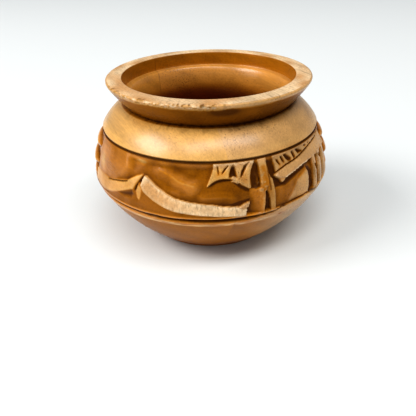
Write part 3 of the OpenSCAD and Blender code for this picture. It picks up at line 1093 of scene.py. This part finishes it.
def wood(name, ring_shift, gold, pore_share):
    """Varnished hardwood. Its grain lies level, along the glue joint."""
    n = Nodes(name)
    place = n.add("ShaderNodeTexCoord").outputs["Object"]
    along = n.add("ShaderNodeMapping", {
        "Vector": place, "Rotation": (0, 0, -JOINT_ANGLE), "Location": ring_shift,
    }).outputs[0]
    streaks = n.stretched(along, (1, 0.12, 1))
    hair = n.stretched(along, (1, 0.045, 1))
    fibres = n.noise(hair, 1500.0, 4.0, 0.62)
    cloudy = n.noise(streaks, 60.0, 3.0, 0.6)
    chisel_marks = n.noise(n.stretched(place, (1, 1, 0.3)), 1300.0, 3.0, 0.65)

    # The mesh says how dark each place is from staining and painted shade, how pale, and how much
    # painted reddish shade it has.
    attribute = n.add("ShaderNodeAttribute", attribute_name="finish").outputs["Color"]
    marks = n.add("ShaderNodeSeparateColor", {0: attribute}).outputs[:3]
    stain_and_shade, pale, _ = marks
    base = wood_finish(n, gold, wood_tone(n, streaks, fibres, cloudy), marks, chisel_marks)
    pores = open_pores(n, place, hair, pore_share)
    base = n.mix(n.times(pores, 0.6), base, STAIN_AND_SHADE_BROWN)
    base = n.mix(glue_thread(n, place), base, STAIN_AND_SHADE_BROWN)

    # The shoulder is polished by hands; raw wood and dark hollows are dull.
    roughness = n.plus(n.plus(n.times(pale, 0.3), n.times(cloudy, 0.2)), 0.16, clamp=True)
    polish = n.ramp(pale, [(0.0, 0.08), (0.2, 0.5), (0.62, 0.6), (0.8, 0.02)])
    gloss = n.times(polish, n.ramp(stain_and_shade, [(0.05, 1.0), (0.35, 0.1)]))
    shader = n.add("ShaderNodeBsdfPrincipled", {
        "Base Color": base,
        "Roughness": roughness,
        "Normal": wood_bump(n, fibres, pores, chisel_marks, pale),
        "Specular IOR Level": n.ramp(stain_and_shade, [(0.1, 0.26), (0.45, 0.06)]),
        "Specular Tint": (1.0, 0.92, 0.82, 1),
        "Coat Weight": gloss,
        "Coat Roughness": 0.25,
    })
    n.add("ShaderNodeOutputMaterial", {0: shader.outputs[0]})
    return n.material


def plain(name, colour, roughness):
    """One even colour, for the floor."""
    n = Nodes(name)
    shader = n.add("ShaderNodeBsdfPrincipled", {"Base Color": (*colour, 1), "Roughness": roughness})
    n.add("ShaderNodeOutputMaterial", {0: shader.outputs[0]})
    return n.material


# ---------------------------------------------------------------- stage
FLOOR_HALF = 4.0
LENS_MM = 38.08
SENSOR_MM = 36.0
CAMERA_PLACE = Vector((-1.7, -178.3, 111.7)) * MM
CAMERA_DOWN = math.radians(31.9)
CAMERA_ROLL = math.radians(-1.6)
LIT_POINT = Vector((0, 0, 0.04))
WORLD_TINT = (0.93, 0.97, 1.0, 1)
WORLD_STRENGTH = 0.32
# Name, place and size in metres, and watts.
WINDOWS = [
    ("window_left", (-1.8, -0.4, 1.75), 1.3, 0.9, 41),
    ("window_low", (-1.9, -0.6, 0.5), 0.9, 0.7, 5),
    ("window_above", (0.3, -0.85, 2.2), 2.6, 0.6, 41),
]


def make_floor():
    """A pale table under the bowl."""
    h = FLOOR_HALF
    mesh = bpy.data.meshes.new("floor")
    mesh.from_pydata([(-h, -h, 0), (h, -h, 0), (h, h, 0), (-h, h, 0)], [], [(0, 1, 2, 3)])
    floor = bpy.data.objects.new("floor", mesh)
    floor.data.materials.append(plain("floor", FLOOR_GREY, 0.6))
    bpy.context.scene.collection.objects.link(floor)


def make_window(name, place, wide, tall, watts):
    """A soft rectangular light that looks at the bowl."""
    data = bpy.data.lights.new(name, "AREA")
    data.shape = "RECTANGLE"
    data.size = wide
    data.size_y = tall
    data.energy = watts
    light = bpy.data.objects.new(name, data)
    light.location = place
    light.rotation_mode = "QUATERNION"
    light.rotation_quaternion = (LIT_POINT - Vector(place)).to_track_quat("-Z", "Y")
    bpy.context.scene.collection.objects.link(light)


def make_camera():
    """Close by and a little above, as the bowl is seen when it is held up in one hand."""
    data = bpy.data.cameras.new("camera")
    data.sensor_width = SENSOR_MM
    data.lens = LENS_MM
    data.clip_start = 0.01
    data.clip_end = 20
    camera = bpy.data.objects.new("camera", data)
    turn = Matrix.Rotation(math.pi / 2 - CAMERA_DOWN, 3, "X") @ Matrix.Rotation(CAMERA_ROLL, 3, "Z")
    camera.location = CAMERA_PLACE
    camera.rotation_mode = "QUATERNION"
    camera.rotation_quaternion = turn.to_quaternion()
    bpy.context.scene.collection.objects.link(camera)
    bpy.context.scene.camera = camera


def make_world():
    """Cool light from all around."""
    world = bpy.data.worlds.new("studio")
    world.use_nodes = True
    background = world.node_tree.nodes["Background"]
    background.inputs[0].default_value = WORLD_TINT
    background.inputs[1].default_value = WORLD_STRENGTH
    bpy.context.scene.world = world


# ---------------------------------------------------------------- making
make_camera()
whole = build_bowl()
heartwood = wood("heartwood", (0.013, 0.0, 0.004), MAIN_GOLD, 1.0)
sidewood = wood("sidewood", (-0.021, 0.0, 0.011), SIDE_GOLD, 0.35)
for name, node, material_slot, material, far in (
    ("main_board_wood", "main_board", "heartwood", heartwood, False),
    ("side_board_wood", "side_board", "sidewood", sidewood, True),
):
    piece = board(name, whole, far)
    piece.data.materials.append(material)
    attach(piece, "root")
    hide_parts(node)

make_floor()
make_world()
for window in WINDOWS:
    make_window(*window)
bpy.context.scene.view_settings.view_transform = "Standard"
bpy.context.scene.view_settings.look = "Medium High Contrast"
